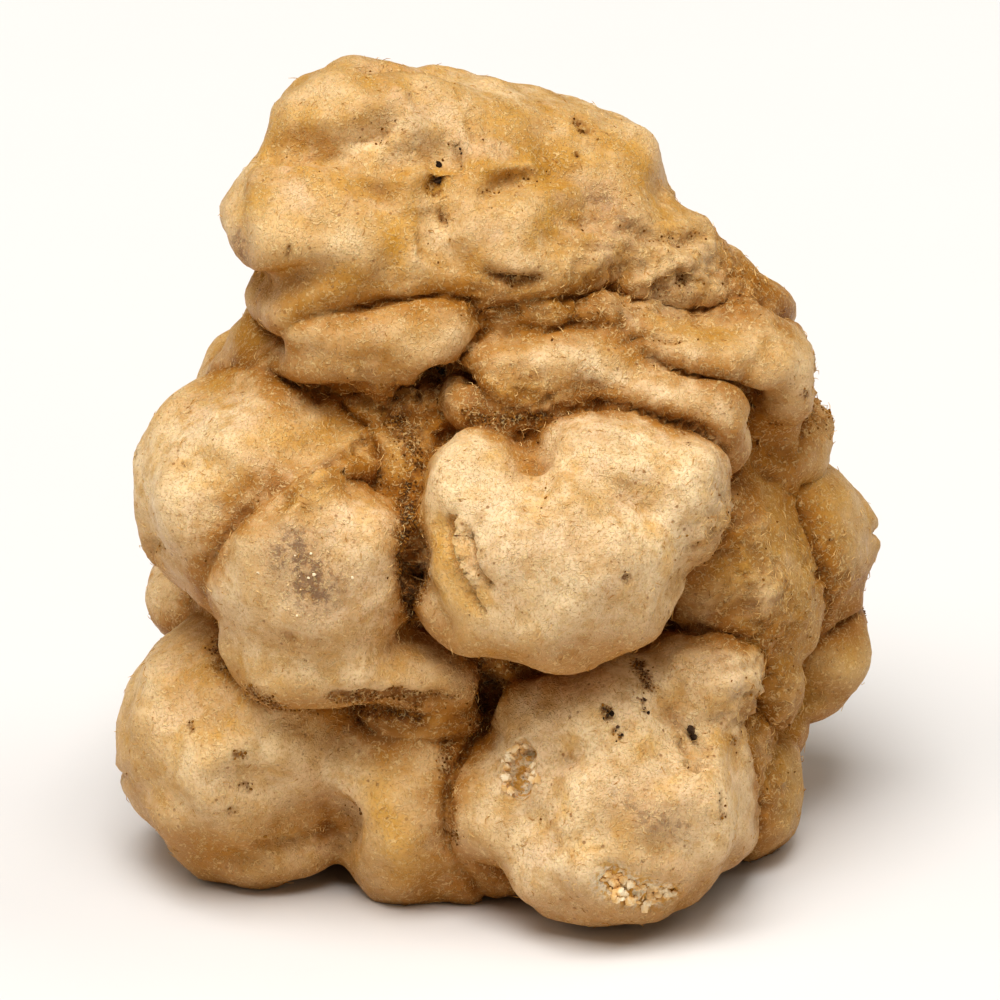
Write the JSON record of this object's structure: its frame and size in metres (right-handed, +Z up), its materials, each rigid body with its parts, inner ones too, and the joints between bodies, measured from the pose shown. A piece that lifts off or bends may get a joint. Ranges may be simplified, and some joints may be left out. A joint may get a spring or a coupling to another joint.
{
  "type": "white truffle",
  "caption": "Whole raw white truffle: a knobbly ochre body of pressed-together lobes with deep creases, standing on small flat spots.",
  "frame": {"origin": "bottom centre of the box round the truffle, on the plane of the flat spots it stands on", "axes": "+Z up; -Y is the side with the two great balls and the vertical crease between them; +X is to the right when looking at that side"},
  "size_m": [0.0767, 0.0646, 0.0815],
  "materials": {
    "peridium": "matt, dry, slightly felted"
  },
  "bodies": {
    "root": {"truffle": "peridium"}
  },
  "joints": []
}
